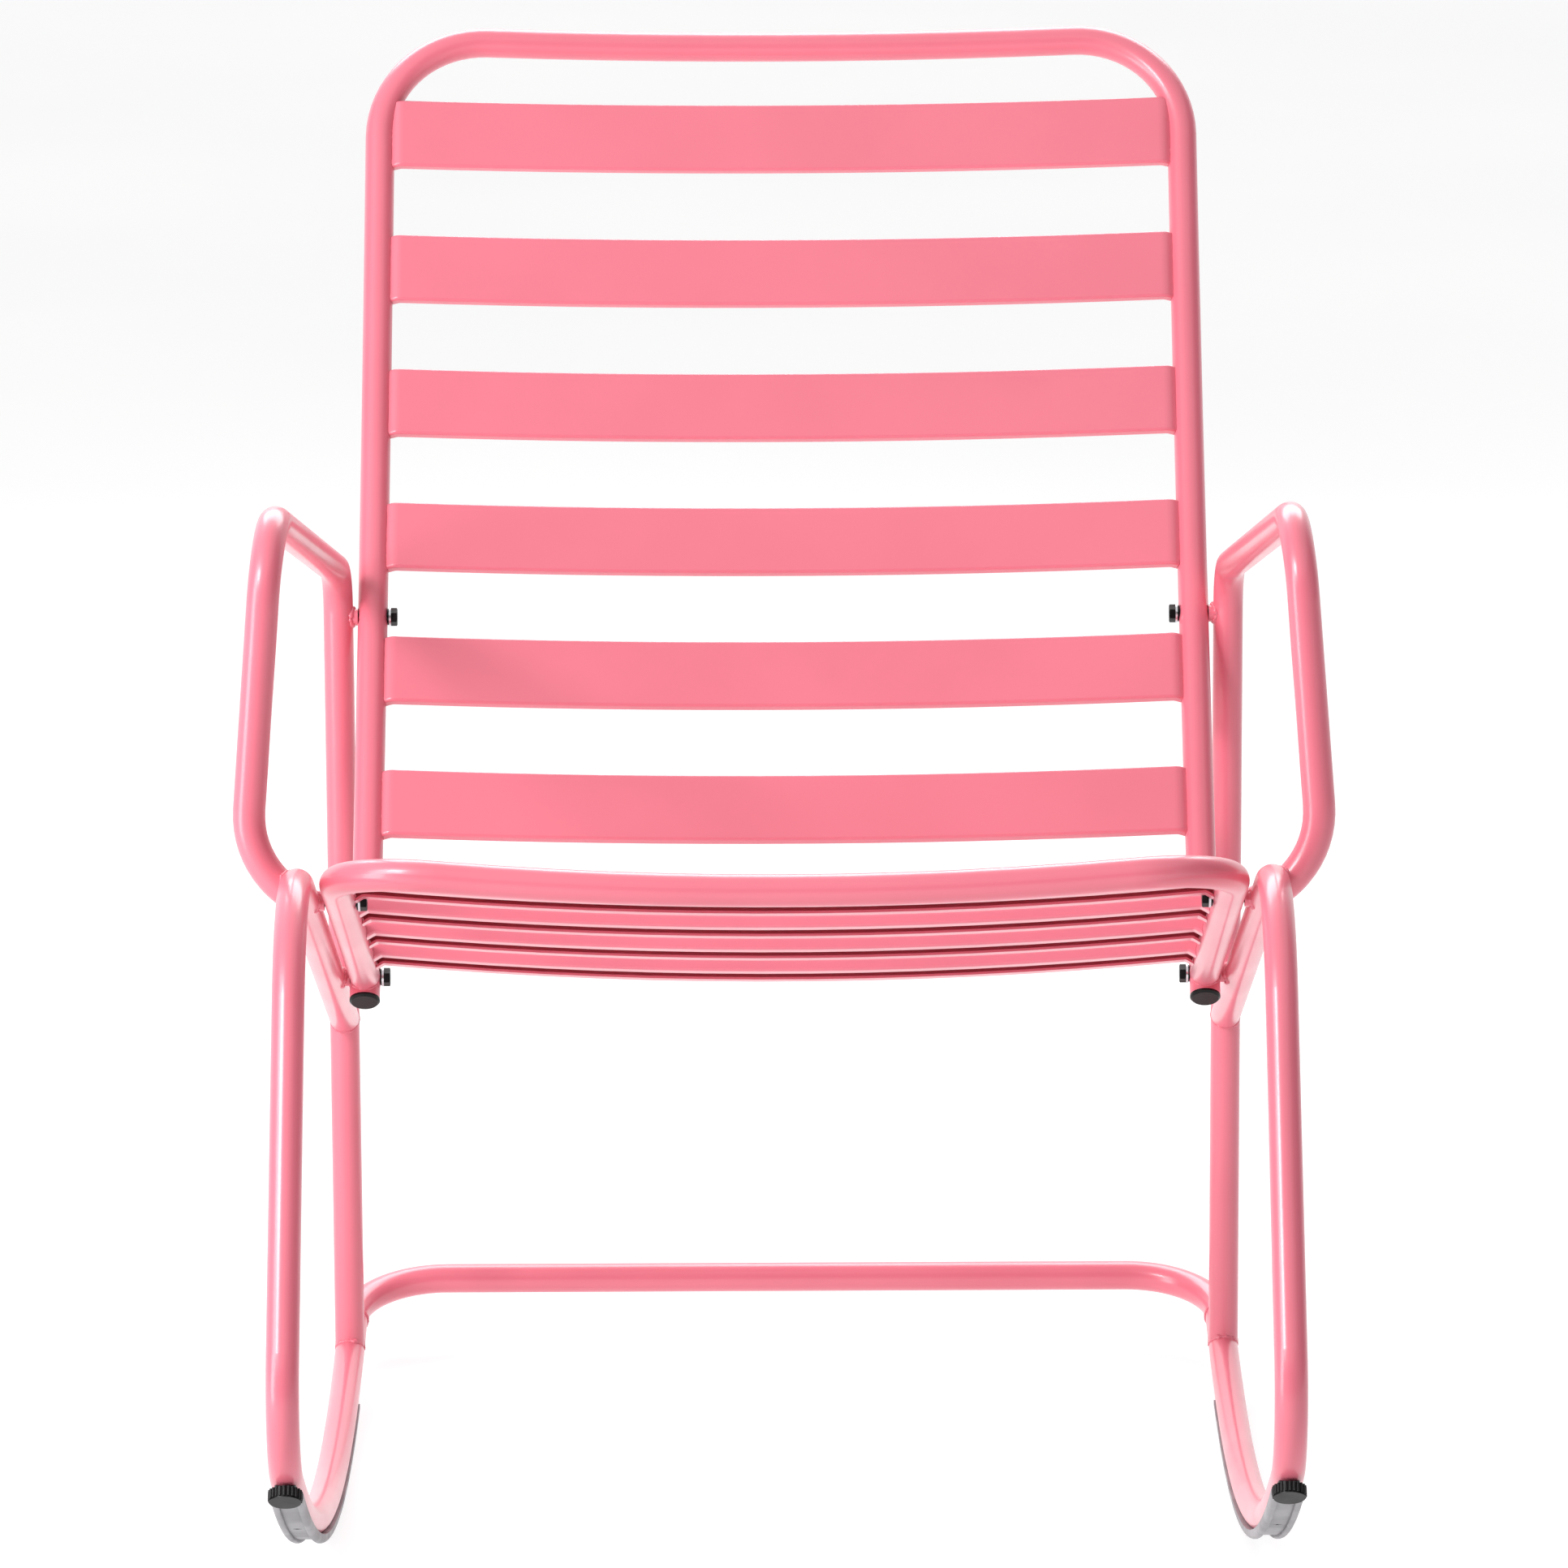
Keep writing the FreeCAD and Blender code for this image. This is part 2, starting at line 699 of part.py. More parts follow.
def bolt(name, point):
    """Hex bolt across the chair, its head on the inner side, its end in the boss."""
    height = size["bolt_head_height"]
    flats = size["bolt_head_flats"] / 2
    under_head = point + AXIS_X * (seat_half - tube_radius - bolt_stack).value
    at_head = standing(under_head - AXIS_X * height.value, AXIS_X)
    hexagon = doc.addObject("Part::Prism", f"{name}_hexagon")
    hexagon.Polygon = 6
    hexagon.Placement = at_head
    bind(hexagon, Circumradius=size["bolt_head_flats"] / math.sqrt(3), Height=height)
    chamfer = cone(f"{name}_chamfer", flats, flats + height * 2, height, at_head)
    head = doc.addObject("Part::Common", f"{name}_head")
    head.Base = hexagon
    head.Tool = chamfer
    shank_length = bolt_stack + size["tube_diameter"] + boss_length - size["tube_wall"]
    shank = cylinder(f"{name}_shank", size["bolt_diameter"] / 2, shank_length, standing(under_head, AXIS_X))
    return fuse(name, head, shank)


def make_fasteners():
    """Bolt, two washers and boss at each of the three joints of a side, and the same mirrored."""
    bolts = []
    washers = []
    spacers = []
    bosses = []
    thread_radius = size["bolt_diameter"] / 2 + size["thread_clearance"]
    inner_face = (seat_half - tube_radius).value
    outer_face = (seat_half + tube_radius).value
    for joint, point in (("front", FRONT_BOLT), ("rear", BACK_ROOT), ("arm", ARM_JOINT)):
        bolts.append(bolt(f"{joint}_bolt", point))
        at_spacer = standing(point + AXIS_X * (inner_face - mm("spacer_thickness")), AXIS_X)
        spacer_radius = size["spacer_diameter"] / 2
        spacers.append(ring(f"{joint}_spacer", spacer_radius, hole_radius, size["spacer_thickness"], at_spacer))
        at_washer = standing(point + AXIS_X * (inner_face - bolt_stack.value), AXIS_X)
        washer_radius = size["washer_diameter"] / 2
        washers.append(ring(f"{joint}_washer", washer_radius, hole_radius, size["washer_thickness"], at_washer))
        at_boss = standing(point + AXIS_X * outer_face, AXIS_X)
        bosses.append(ring(f"{joint}_boss", boss_radius, thread_radius, boss_length, at_boss))
    for label, pieces in (("hex_bolts", bolts), ("flat_washers", washers), ("spacer_washers", spacers),
                          ("threaded_bosses", bosses)):
        others = [mirrored(f"{piece.Name}_left", piece) for piece in pieces]
        node(group(label, *pieces, *others), label)


def make_plugs():
    """Push-in plugs that close the lower ends of the back frame."""
    low = -mm("back_tail")
    downward = back_up(low).negative()
    end = on_back(low, seat_half.value)
    edge = size["plug_flange"] / 2
    rim = cylinder("plug_rim", tube_radius, edge, standing(end, downward))
    face = cone("plug_face", tube_radius, tube_radius - edge, edge, standing(end + downward * edge.value, downward))
    barrel = cylinder("plug_barrel_post", bore_radius - size["plug_fit"], size["plug_barrel"],
                      standing(end - downward * mm("plug_barrel"), downward))
    right = node(fuse("leg_plug_right", rim, face, barrel), "leg_plug_right")
    node(mirrored("leg_plug_left", right), "leg_plug_left")


# Glide strips under the rockers, with their screws and bumpers

END_STEP = mm("strip_end_gap") / mm("rocker_radius")
TOE_CENTRE = on_rocker(TOE_ANGLE) - rocker_down(TOE_ANGLE) * mm("toe_radius")
TOE_BUMPER = TOE_ANGLE - mm("bumper_toe_reach") / mm("toe_radius")
STRIP_START = TOE_ANGLE + END_STEP
STRIP_END = rocker_angle(mm("strip_heel_reach"))

tread_depth = size["glide_thickness"] + tube_radius
screw_seat = size["glide_thickness"] - size["groove_depth"]


def screw_angles():
    margin = mm("screw_end_margin") / mm("rocker_radius")
    pitch = (STRIP_END - STRIP_START - 2 * margin) / (SCREWS_PER_STRIP - 1)
    return [STRIP_START + margin + pitch * number for number in range(SCREWS_PER_STRIP)]


def on_tread(angle):
    """Point on the right rocker's centre line, or on the toe's bend where the angle is before the rocker."""
    if angle < TOE_ANGLE:
        return TOE_CENTRE + rocker_down(angle) * mm("toe_radius") + AXIS_X * base_half.value
    return on_rocker(angle, base_half.value)


def below_tube(angle, depth):
    """Placement under the right rocker, a depth out from its centre line, with Z pointing back in."""
    point = on_tread(angle) + rocker_down(angle) * depth
    return standing(point, rocker_down(angle).negative(), AXIS_X)


def glide_holes():
    """Holes in the rocker's underside for the strip's screws and the stems of the bumpers."""
    holes = []
    screw_hole = (size["screw_diameter"] + size["weld_gap"]) / 2
    stem_hole = (size["bumper_stem_diameter"] + size["weld_gap"]) / 2
    for number, angle in enumerate(screw_angles(), start=1):
        place = below_tube(angle, tread_depth.value)
        holes.append(cylinder(f"tube_screw_hole_{number}", screw_hole, tread_depth, place))
    place = below_tube(TOE_BUMPER, tread_depth.value)
    holes.append(cylinder("toe_stem_hole", stem_hole, tread_depth, place))
    return holes


def make_strip():
    """Plastic strip that hugs the rocker's underside, with a groove along its tread."""
    zero = measure(0)
    edge = size["strip_width"] / 2
    groove = size["groove_width"] / 2
    round_edge = size["strip_edge_radius"]
    round_groove = size["groove_edge_radius"]
    section = outline("strip_section", below_tube(STRIP_START, tread_depth.value).multiply(
        Placement(Vector(0, 0, 0), Rotation(AXIS_X, 90))), [
        (zero - edge, zero, round_edge),
        (zero - groove, zero, round_groove),
        (zero - groove, size["groove_depth"], None),
        (groove, size["groove_depth"], None),
        (groove, zero, round_groove),
        (edge, zero, round_edge),
        (edge, size["strip_side"], None),
        (zero - edge, size["strip_side"], None),
    ])
    sweep = doc.addObject("Part::Revolution", "strip_blank")
    sweep.Source = section
    sweep.Axis = AXIS_X
    sweep.Base = ROCKER_CENTRE
    sweep.Angle = math.degrees(STRIP_END - STRIP_START)
    sweep.Solid = True
    tube_cope = torus("strip_tube_cope", rocker_line_radius, ROCKER_CENTRE + Vector(base_half.value, 0, 0))
    hollowed = cut("strip_hollowed", sweep, tube_cope)
    clear = size["weld_gap"] / 2
    holes = [screw_shape(f"strip_hole_{number}", angle, clear)
             for number, angle in enumerate(screw_angles(), start=1)]
    right = node(cut("glide_strip_right", hollowed, *holes), "glide_strip_right")
    node(mirrored("glide_strip_left", right), "glide_strip_left")


def screw_shape(name, angle, clear):
    """Countersunk screw driven up through the groove, or with some clearance the hole for it."""
    head = size["screw_head_diameter"] / 2 + clear
    shank = size["screw_diameter"] / 2 + clear
    sink = head - shank
    place = below_tube(angle, (tread_depth - size["groove_depth"]).value)
    top = cone(f"{name}_head", head, shank, sink, place)
    return fuse(name, top, cylinder(f"{name}_shank", shank, size["screw_length"], place))


def make_screws():
    screws = []
    for number, angle in enumerate(screw_angles(), start=1):
        blank = screw_shape(f"screw_{number}_blank", angle, measure(0))
        drive = doc.addObject("Part::Prism", f"screw_{number}_drive")
        drive.Polygon = 6
        drive.Placement = below_tube(angle, (tread_depth - size["groove_depth"]).value)
        bind(drive, Circumradius=size["screw_drive_diameter"] / 2, Height=size["screw_drive_depth"])
        screws.append(cut(f"screw_{number}", blank, drive))
    others = [mirrored(f"{screw.Name}_left", screw) for screw in screws]
    node(group("strip_screws", *screws, *others), "strip_screws")


def ribbed_button(name, place):
    """Round bumper with upright ribs round its side."""
    body = doc.addObject("PartDesign::Body", name)
    body.Placement = place
    core = body.newObject("PartDesign::AdditiveCylinder", f"{name}_core")
    core_radius = size["bumper_diameter"] / 2 - size["bumper_rib"]
    bind(core, Radius=core_radius, Height=size["bumper_height"])
    rib = body.newObject("PartDesign::AdditiveCylinder", f"{name}_rib")
    rib.Placement = Placement(Vector(core_radius.value, 0, mm("bumper_rib")), Rotation())
    bind(rib, Radius=size["bumper_rib"], Height=size["bumper_height"] - size["bumper_rib"])
    ribs = body.newObject("PartDesign::PolarPattern", f"{name}_ribs")
    ribs.Originals = [rib]
    ribs.Axis = (body.Origin.OriginFeatures[2], [""])
    ribs.Angle = 360
    ribs.Occurrences = BUMPER_RIBS
    body.Tip = ribs
    return body


def make_bumper(end, angle):
    """Bumper at the toe of a rocker: a ribbed button, a neck shaped to the tube and a stem pushed into it."""
    button_depth = tube_radius + size["bumper_neck_height"]
    place = below_tube(angle, (button_depth + size["bumper_height"]).value)
    button = ribbed_button(f"{end}_button", place)
    neck_blank = cylinder(f"{end}_neck_blank", size["bumper_neck_diameter"] / 2,
                          size["bumper_neck_height"] + tube_radius / 2, below_tube(angle, button_depth.value))
    middle = on_tread(angle)
    reach = rocker_backward(angle) * mm("bumper_diameter")
    neck = cut(f"{end}_neck", neck_blank, cope_rod(f"{end}_neck_cope", middle - reach, middle + reach))
    stem_length = size["bumper_height"] + size["bumper_neck_height"] + size["bumper_stem_length"]
    stem = cylinder(f"{end}_bumper_stem", size["bumper_stem_diameter"] / 2, stem_length, place)
    right = node(fuse(f"{end}_bumper_right", button, neck, stem), f"{end}_bumper_right")
    node(mirrored(f"{end}_bumper_left", right), f"{end}_bumper_left")


def at_rest(shape):
    """A piece as the empty chair stands: rolled back about the centre of the rockers."""
    turned = shape.copy()
    turned.rotate(ROCKER_CENTRE, AXIS_X, -mm("rest_lean"))
    return turned


def export_nodes():
    """Check every object of the document, then write one STEP file for each node."""
    for item in doc.Objects:
        if "Invalid" in item.State or "Error" in item.State:
            raise RuntimeError(f"{item.Name} did not build: {item.State}")
    os.makedirs("parts", exist_ok=True)
    for item in nodes:
        if item.Shape.isNull() or not item.Shape.isValid() or not item.Shape.Solids:
            raise RuntimeError(f"{item.Label} has no sound shape")
        at_rest(item.Shape).exportStep(f"parts/{item.Label}.step")


seat_cope, back_cope = make_tubes()
make_all_slats(seat_cope, back_cope)
make_fasteners()
make_plugs()
make_strip()
make_screws()
make_bumper("front", TOE_BUMPER)
doc.recompute()
export_nodes()
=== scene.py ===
import math

import bpy
from mathutils import Matrix, Vector


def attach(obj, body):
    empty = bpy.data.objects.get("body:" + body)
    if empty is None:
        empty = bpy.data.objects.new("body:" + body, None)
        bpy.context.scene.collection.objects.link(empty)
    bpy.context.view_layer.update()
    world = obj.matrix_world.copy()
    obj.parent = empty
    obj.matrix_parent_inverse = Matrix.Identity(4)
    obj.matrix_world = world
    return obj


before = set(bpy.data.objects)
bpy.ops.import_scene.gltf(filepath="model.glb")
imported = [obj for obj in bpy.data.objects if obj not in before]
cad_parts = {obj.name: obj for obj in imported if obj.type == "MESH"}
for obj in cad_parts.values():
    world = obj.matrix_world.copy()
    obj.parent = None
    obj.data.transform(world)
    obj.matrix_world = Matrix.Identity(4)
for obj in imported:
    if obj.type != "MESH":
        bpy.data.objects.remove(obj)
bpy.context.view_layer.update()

# Sizes of the chair, in metres and radians, as the solids have them before they are rolled to rest
MM = 0.001
TUBE_R = 9.5 * MM
SEAT_HALF = 262 * MM
BASE_HALF = 284 * MM
SEAT_FRONT = Vector((0, -300 * MM, 429.2 * MM))
SEAT_SLOPE = math.radians(14.9)
SEAT_DEPTH = 417.1 * MM
BACK_RECLINE = math.radians(35.38)
BACK_RADIUS = 3050 * MM
BACK_HEIGHT = 668.8 * MM
BACK_CORNER = 70 * MM
ROCKER_R = 1120 * MM
GLIDE = 4 * MM
ROCKER_LINE_R = ROCKER_R - GLIDE - TUBE_R
REST_LEAN = math.radians(7.24)
HEEL_REACH = 347 * MM
FOOT_REACH = 305 * MM
ARM_BOLT_REACH = 257.3 * MM
FRONT_BOLT_SETBACK = 119 * MM
ARM_POST_SETBACK = 58 * MM
ARM_END_X = 4.7 * MM
ARM_END_DROP = 4.0 * MM
ARM_CURL = math.radians(52)
BOSS_R = 5.5 * MM
BOSS_HEFT = 0.8
THIN_BEAD = 0.3
SLAT_SEAM_MARGIN = 3 * MM
SLAT_SEAM_STEPS = 12
SHEET = 1.5 * MM
SLAT_RISE = 7.5 * MM
SLAT_END = 6 * MM
SLAT_END_BEND = math.radians(30)
SLAT_END_R = 9.5 * MM
SEAT_SLATS = {"count": 4, "width": 45.5 * MM, "first": 89.5 * MM, "pitch": 86.4 * MM, "bow": 2700 * MM}
BACK_SLATS = {"count": 6, "width": 46.5 * MM, "first": 121.8 * MM, "pitch": 95.5 * MM, "bow": 2900 * MM}

ACROSS = Vector((1, 0, 0))
SEAT_BACKWARD = Vector((0, math.cos(SEAT_SLOPE), -math.sin(SEAT_SLOPE)))
SEAT_UPWARD = Vector((0, math.sin(SEAT_SLOPE), math.cos(SEAT_SLOPE)))


def on_seat(distance):
    return SEAT_FRONT + SEAT_BACKWARD * distance


BACK_ROOT = on_seat(SEAT_DEPTH)


def back_up(distance):
    lean = BACK_RECLINE - distance / BACK_RADIUS
    return Vector((0, math.sin(lean), math.cos(lean)))


def back_forward(distance):
    lean = BACK_RECLINE - distance / BACK_RADIUS
    return Vector((0, -math.cos(lean), math.sin(lean)))


def on_back(distance):
    return BACK_ROOT + (back_forward(0) - back_forward(distance)) * BACK_RADIUS


def on_rocker(angle):
    return Vector((0, math.sin(angle) * ROCKER_LINE_R, ROCKER_R - math.cos(angle) * ROCKER_LINE_R))


def rocker_backward(angle):
    return Vector((0, math.cos(angle), math.sin(angle)))


FOOT_ANGLE = math.asin(FOOT_REACH / ROCKER_LINE_R)
HEEL_ANGLE = math.asin(HEEL_REACH / ROCKER_LINE_R)
REAR_FOOT = on_rocker(FOOT_ANGLE)
ARM_JOINT = on_back(ARM_BOLT_REACH)
REAR_LEG_UP = (ARM_JOINT - REAR_FOOT).normalized()


def side_view_crossing(point_a, along_a, point_b, along_b):
    across = along_a.y * along_b.z - along_a.z * along_b.y
    gap = point_b - point_a
    return point_a + along_a * ((gap.y * along_b.z - gap.z * along_b.y) / across)


RAIL_END = side_view_crossing(REAR_FOOT, REAR_LEG_UP, SEAT_FRONT, SEAT_BACKWARD)


# Shader groups that the finishes share

def new_group(name, inputs, outputs):
    """Empty shader group with its sockets, and its two end nodes."""
    tree = bpy.data.node_groups.new(name, "ShaderNodeTree")
    for label, kind, value in inputs:
        socket = tree.interface.new_socket(label, in_out="INPUT", socket_type=kind)
        if value is not None:
            socket.default_value = value
    for label, kind in outputs:
        tree.interface.new_socket(label, in_out="OUTPUT", socket_type=kind)
    return tree, tree.nodes.new("NodeGroupInput"), tree.nodes.new("NodeGroupOutput")


def math_node(tree, operation, first, second):
    node = tree.nodes.new("ShaderNodeMath")
    node.operation = operation
    for socket, value in zip(node.inputs, (first, second)):
        if isinstance(value, (int, float)):
            socket.default_value = value
        else:
            tree.links.new(value, socket)
    return node.outputs[0]


def noise_node(tree, place, scale, detail=2.0):
    node = tree.nodes.new("ShaderNodeTexNoise")
    node.inputs["Detail"].default_value = detail
    tree.links.new(place, node.inputs["Vector"])
    if isinstance(scale, (int, float)):
        node.inputs["Scale"].default_value = scale
    else:
        tree.links.new(scale, node.inputs["Scale"])
    return node.outputs["Fac"]


def blend_node(tree, factor, first, second):
    node = tree.nodes.new("ShaderNodeMix")
    node.data_type = "RGBA"
    tree.links.new(factor, node.inputs["Factor"])
    first_colour, second_colour, blended = node.inputs[6], node.inputs[7], node.outputs[2]
    for socket, value in ((first_colour, first), (second_colour, second)):
        if isinstance(value, (tuple, list)):
            socket.default_value = value
        else:
            tree.links.new(value, socket)
    return blended


def range_node(tree, value, low, high, to_low, to_high):
    node = tree.nodes.new("ShaderNodeMapRange")
    node.interpolation_type = "SMOOTHSTEP"
    for socket, item in zip(node.inputs, (value, low, high, to_low, to_high)):
        if isinstance(item, (int, float)):
            socket.default_value = item
        else:
            tree.links.new(item, socket)
    return node.outputs[0]


def make_surface_skin():
    """Skin of a sprayed or moulded surface: slow mottling of colour and gloss, fine peel in relief."""
    inputs = [
        ("Place", "NodeSocketVector", None),
        ("Colour", "NodeSocketColor", None),
        ("Mottle Colour", "NodeSocketColor", None),
        ("Mottle Scale", "NodeSocketFloat", 12.0),
        ("Peel Scale", "NodeSocketFloat", 900.0),
        ("Gloss Low", "NodeSocketFloat", 0.3),
        ("Gloss High", "NodeSocketFloat", 0.4),
    ]
    outputs = [("Colour", "NodeSocketColor"), ("Roughness", "NodeSocketFloat"), ("Height", "NodeSocketFloat")]
    tree, start, end = new_group("surface_skin", inputs, outputs)
    place = start.outputs["Place"]
    slow = noise_node(tree, place, start.outputs["Mottle Scale"], 3.0)
    mottle = range_node(tree, slow, 0.35, 0.68, 0.0, 1.0)
    tint = blend_node(tree, mottle, start.outputs["Colour"], start.outputs["Mottle Colour"])
    gloss = range_node(tree, slow, 0.3, 0.7, start.outputs["Gloss Low"], start.outputs["Gloss High"])
    wave_share = 0.55
    wave_coarseness = 0.28
    peel = noise_node(tree, place, start.outputs["Peel Scale"], 1.0)
    long_scale = math_node(tree, "MULTIPLY", start.outputs["Peel Scale"], wave_coarseness)
    wave = noise_node(tree, place, long_scale, 0.0)
    fine = math_node(tree, "MULTIPLY", peel, 1.0 - wave_share)
    broad = math_node(tree, "MULTIPLY", wave, wave_share)
    height = math_node(tree, "ADD", fine, broad)
    tree.links.new(tint, end.inputs["Colour"])
    tree.links.new(gloss, end.inputs["Roughness"])
    tree.links.new(height, end.inputs["Height"])
    return tree


def make_rub_marks():
    """Patchy mask of rubbed places: broad patches broken up by fine streaks."""
    inputs = [
        ("Place", "NodeSocketVector", None),
        ("Patch Scale", "NodeSocketFloat", 30.0),
        ("Streak Scale", "NodeSocketFloat", 260.0),
        ("Spread", "NodeSocketFloat", 0.5),
    ]
    tree, start, end = new_group("rub_marks", inputs, [("Mask", "NodeSocketFloat")])
    place = start.outputs["Place"]
    patch = noise_node(tree, place, start.outputs["Patch Scale"], 4.0)
    streak = noise_node(tree, place, start.outputs["Streak Scale"], 5.0)
    streak_share = 0.35
    soft_edge = 0.22
    broad = math_node(tree, "MULTIPLY", patch, 1.0 - streak_share)
    fine = math_node(tree, "MULTIPLY", streak, streak_share)
    both = math_node(tree, "ADD", broad, fine)
    floor_value = math_node(tree, "SUBTRACT", 1.0, start.outputs["Spread"])
    top_value = math_node(tree, "ADD", floor_value, soft_edge)
    mask = range_node(tree, both, floor_value, top_value, 0.0, 1.0)
    tree.links.new(mask, end.inputs["Mask"])
    return tree


SURFACE_SKIN = make_surface_skin()
RUB_MARKS = make_rub_marks()


# Finishes

def new_finish(name):
    """Material with its shader and the place that its patterns read."""
    finish = bpy.data.materials.new(name)
    finish.use_nodes = True
    tree = finish.node_tree
    shader = tree.nodes["Principled BSDF"]
    place = tree.nodes.new("ShaderNodeTexCoord").outputs["Object"]
    return finish, tree, shader, place


def add_group(tree, group, place, **values):
    node = tree.nodes.new("ShaderNodeGroup")
    node.node_tree = group
    tree.links.new(place, node.inputs["Place"])
    for label, value in values.items():
        node.inputs[label.replace("_", " ")].default_value = value
    return node


def stretch(tree, place, scale):
    node = tree.nodes.new("ShaderNodeMapping")
    node.inputs["Scale"].default_value = scale
    tree.links.new(place, node.inputs["Vector"])
    return node.outputs["Vector"]


def show_skin(tree, shader, skin, colour=None):
    """Link a skin's roughness, and its colour or the one given, to the shader."""
    shown = skin.outputs["Colour"] if colour is None else colour
    tree.links.new(shown, shader.inputs["Base Color"])
    tree.links.new(skin.outputs["Roughness"], shader.inputs["Roughness"])


def relief(tree, shader, height, strength, distance):
    bump = tree.nodes.new("ShaderNodeBump")
    bump.inputs["Strength"].default_value = strength
    bump.inputs["Distance"].default_value = distance
    tree.links.new(height, bump.inputs["Height"])
    tree.links.new(bump.outputs["Normal"], shader.inputs["Normal"])


def pink_powder_coat():
    finish, tree, shader, place = new_finish("pink_powder_coat")
    skin = add_group(tree, SURFACE_SKIN, place,
                     Colour=(0.800, 0.185, 0.250, 1), Mottle_Colour=(0.770, 0.174, 0.236, 1),
                     Mottle_Scale=9.0, Peel_Scale=1100.0, Gloss_Low=0.28, Gloss_High=0.35)
    show_skin(tree, shader, skin)
    shader.inputs["Coat Weight"].default_value = 0.35
    shader.inputs["Coat Roughness"].default_value = 0.16
    shader.inputs["Specular IOR Level"].default_value = 0.5
    relief(tree, shader, skin.outputs["Height"], strength=0.16, distance=0.0002)
    return finish


def black_moulded_plastic():
    finish, tree, shader, place = new_finish("black_moulded_plastic")
    skin = add_group(tree, SURFACE_SKIN, place,
                     Colour=(0.0022, 0.0022, 0.0026, 1), Mottle_Colour=(0.005, 0.0049, 0.0055, 1),
                     Mottle_Scale=60.0, Peel_Scale=1800.0, Gloss_Low=0.26, Gloss_High=0.40)
    show_skin(tree, shader, skin)
    shader.inputs["Specular IOR Level"].default_value = 0.26
    relief(tree, shader, skin.outputs["Height"], strength=0.25, distance=0.0002)
    return finish


def grey_glide_plastic():
    finish, tree, shader, place = new_finish("grey_glide_plastic")
    skin = add_group(tree, SURFACE_SKIN, place,
                     Colour=(0.29, 0.285, 0.30, 1), Mottle_Colour=(0.24, 0.236, 0.25, 1),
                     Mottle_Scale=22.0, Peel_Scale=1500.0, Gloss_Low=0.42, Gloss_High=0.58)
    along = stretch(tree, place, (6.0, 0.35, 0.35))
    rub = add_group(tree, RUB_MARKS, along, Patch_Scale=26.0, Streak_Scale=300.0, Spread=0.46)
    worn = blend_node(tree, rub.outputs["Mask"], skin.outputs["Colour"], (0.20, 0.197, 0.208, 1))
    show_skin(tree, shader, skin, worn)
    relief(tree, shader, skin.outputs["Height"], strength=0.3, distance=0.0003)
    return finish


def black_coated_steel():
    finish, tree, shader, place = new_finish("black_coated_steel")
    skin = add_group(tree, SURFACE_SKIN, place,
                     Colour=(0.004, 0.004, 0.0045, 1), Mottle_Colour=(0.009, 0.009, 0.01, 1),
                     Mottle_Scale=180.0, Peel_Scale=2600.0, Gloss_Low=0.28, Gloss_High=0.42)
    rub = add_group(tree, RUB_MARKS, place, Patch_Scale=240.0, Streak_Scale=1500.0, Spread=0.40)
    worn = blend_node(tree, rub.outputs["Mask"], skin.outputs["Colour"], (0.035, 0.035, 0.037, 1))
    show_skin(tree, shader, skin, worn)
    shader.inputs["Metallic"].default_value = 0.35
    shader.inputs["Specular IOR Level"].default_value = 0.3
    relief(tree, shader, skin.outputs["Height"], strength=0.2, distance=0.0002)
    return finish


def bright_zinc():
    finish, tree, shader, place = new_finish("bright_zinc")
    skin = add_group(tree, SURFACE_SKIN, place,
                     Colour=(0.78, 0.78, 0.80, 1), Mottle_Colour=(0.66, 0.66, 0.70, 1),
                     Mottle_Scale=320.0, Peel_Scale=3200.0, Gloss_Low=0.22, Gloss_High=0.36)
    show_skin(tree, shader, skin)
    shader.inputs["Metallic"].default_value = 1.0
    relief(tree, shader, skin.outputs["Height"], strength=0.15, distance=0.0002)
    return finish


def studio_white():
    finish, tree, shader, place = new_finish("studio_white")
    skin = add_group(tree, SURFACE_SKIN, place,
                     Colour=(0.32, 0.32, 0.32, 1), Mottle_Colour=(0.31, 0.31, 0.315, 1),
                     Mottle_Scale=0.8, Peel_Scale=90.0, Gloss_Low=0.85, Gloss_High=0.95)
    show_skin(tree, shader, skin)
    shader.inputs["Emission Color"].default_value = (1, 1, 1, 1)
    shader.inputs["Emission Strength"].default_value = 0.74
    return finish


PINK = pink_powder_coat()
BLACK_PLASTIC = black_moulded_plastic()
GREY_PLASTIC = grey_glide_plastic()
BLACK_STEEL = black_coated_steel()
ZINC = bright_zinc()


def finish_for(name):
    if "bumper" in name or "plug" in name or name == "spacer_washers":
        return BLACK_PLASTIC
    if "glide_strip" in name:
        return GREY_PLASTIC
    if name in ("hex_bolts", "strip_screws"):
        return BLACK_STEEL
    if name == "flat_washers":
        return ZINC
    return PINK


def dress_nodes():
    """Give every solid of the frame its finish."""
    for name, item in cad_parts.items():
        item.data.materials.clear()
        item.data.materials.append(finish_for(name))


# Weld beads: rows of small overlapping ripples along the seams

def lumps(angle, heft):
    """Size of a hand-laid bead at an angle round its seam: a few thick and thin places."""
    mean_size = 0.82
    slow_swell = 0.2 * math.sin(5 * angle + 0.7)
    quick_swell = 0.16 * math.sin(11 * angle + 2.1)
    return heft * (mean_size + slow_swell + quick_swell)


